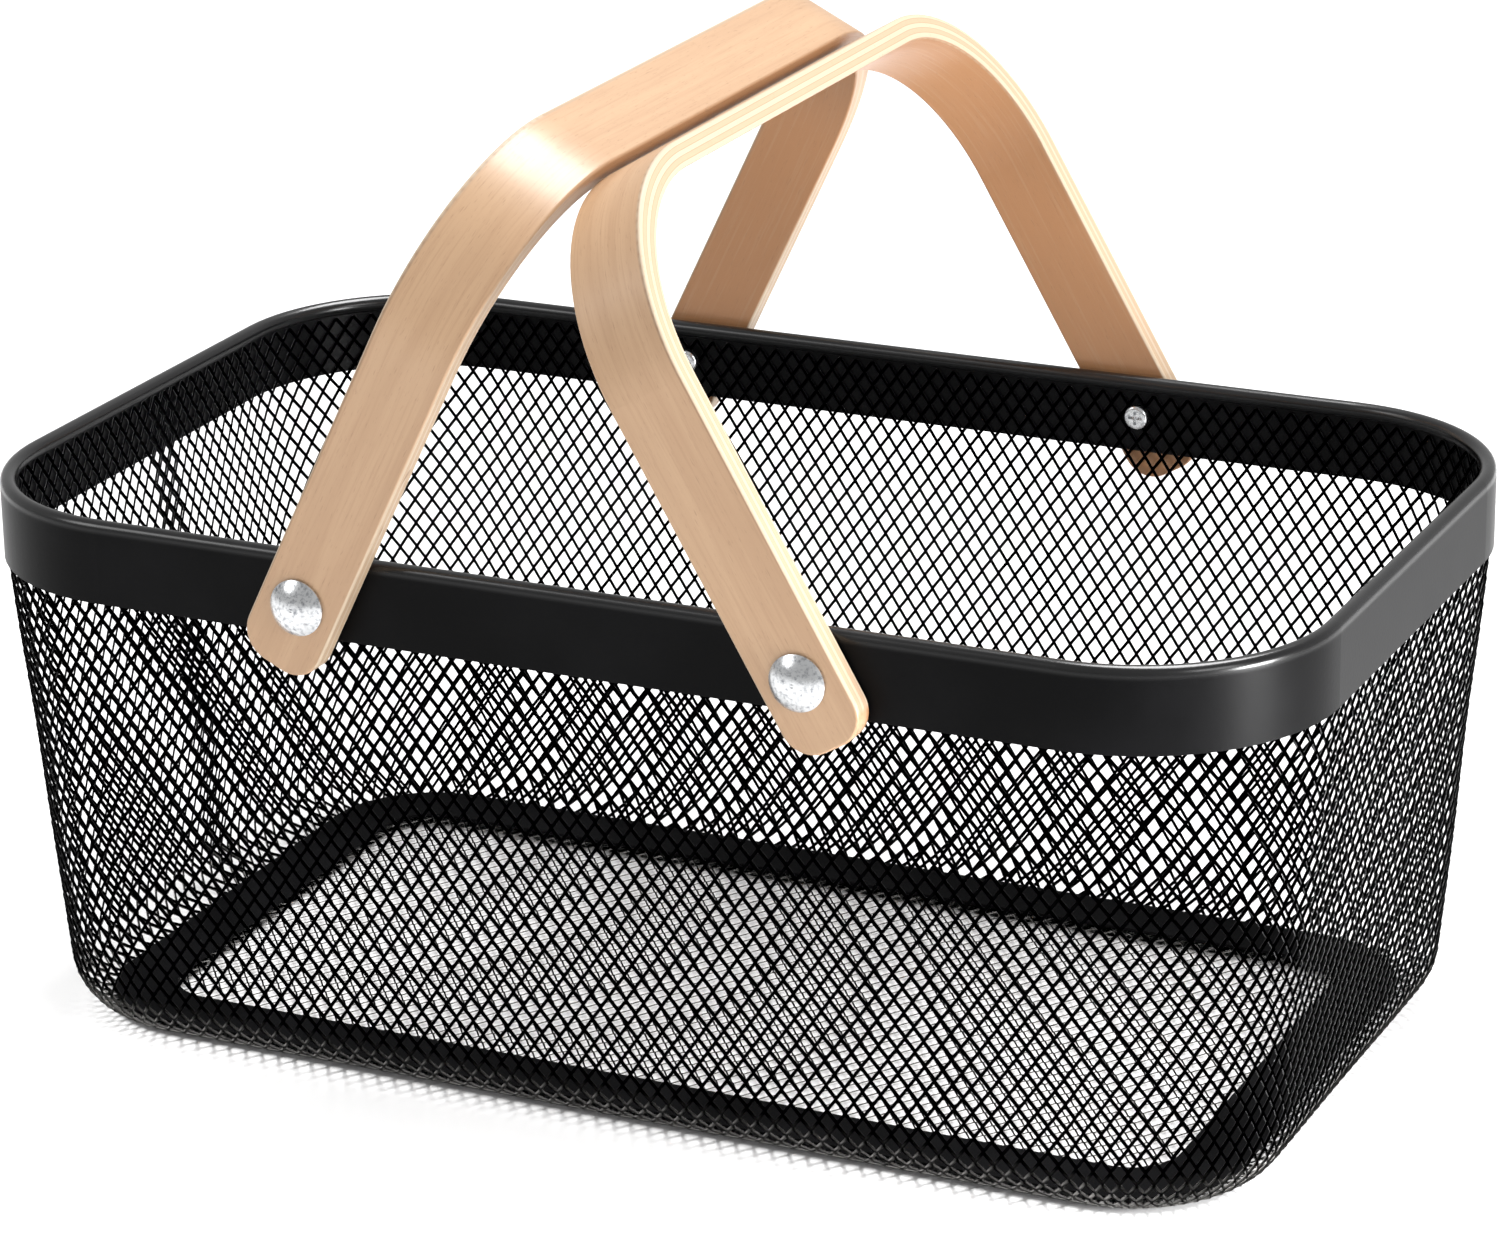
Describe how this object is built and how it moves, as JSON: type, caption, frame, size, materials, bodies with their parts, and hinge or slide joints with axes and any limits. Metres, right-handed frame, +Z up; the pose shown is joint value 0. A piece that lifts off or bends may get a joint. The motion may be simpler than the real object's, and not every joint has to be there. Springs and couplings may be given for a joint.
{
  "type": "wire produce basket",
  "caption": "Oblong expanded-metal basket with a curled sheet-metal rim and bent-plywood swing handles, for storing and carrying fruit and vegetables.",
  "frame": {"origin": "centre of the footprint, on the surface that the basket stands on", "axes": "+X along the long side, +Y towards the back, +Z up"},
  "size_m": [0.4, 0.2624, 0.2816],
  "materials": {
    "black_powder_coat": "satin black powder coat on steel",
    "plain_steel_wire": "drawn steel wire, hidden in the bead",
    "bent_plywood": "clear satin lacquer on birch or maple face veneer",
    "bright_zinc": "bright zinc plate",
    "black_nylon": "moulded nylon"
  },
  "bodies": {
    "tub": {"wall_mesh": "black_powder_coat", "floor_mesh": "black_powder_coat", "floor_band": "black_powder_coat", "rim_band": "black_powder_coat", "rim_wire": "plain_steel_wire", "front_left_pivot_post": "bright_zinc", "front_right_pivot_post": "bright_zinc", "back_left_pivot_post": "bright_zinc", "back_right_pivot_post": "bright_zinc", "front_left_pivot_screw": "bright_zinc", "front_right_pivot_screw": "bright_zinc", "back_left_pivot_screw": "bright_zinc", "back_right_pivot_screw": "bright_zinc", "front_left_pivot_washer": "black_nylon", "front_right_pivot_washer": "black_nylon", "back_left_pivot_washer": "black_nylon", "back_right_pivot_washer": "black_nylon"},
    "left_handle_swing": {"left_handle": "bent_plywood"},
    "right_handle_swing": {"right_handle": "bent_plywood"}
  },
  "joints": [
    {"name": "left_handle_hinge", "type": "hinge", "parent": "tub", "child": "left_handle_swing", "pos_m": [-0.0745, 0, 0.1525], "axis": [0, -1, 0], "range_deg": [0, 133.1]},
    {"name": "right_handle_hinge", "type": "hinge", "parent": "tub", "child": "right_handle_swing", "pos_m": [0.0745, 0, 0.1525], "axis": [0, 1, 0], "range_deg": [0, 136.8]}
  ]
}
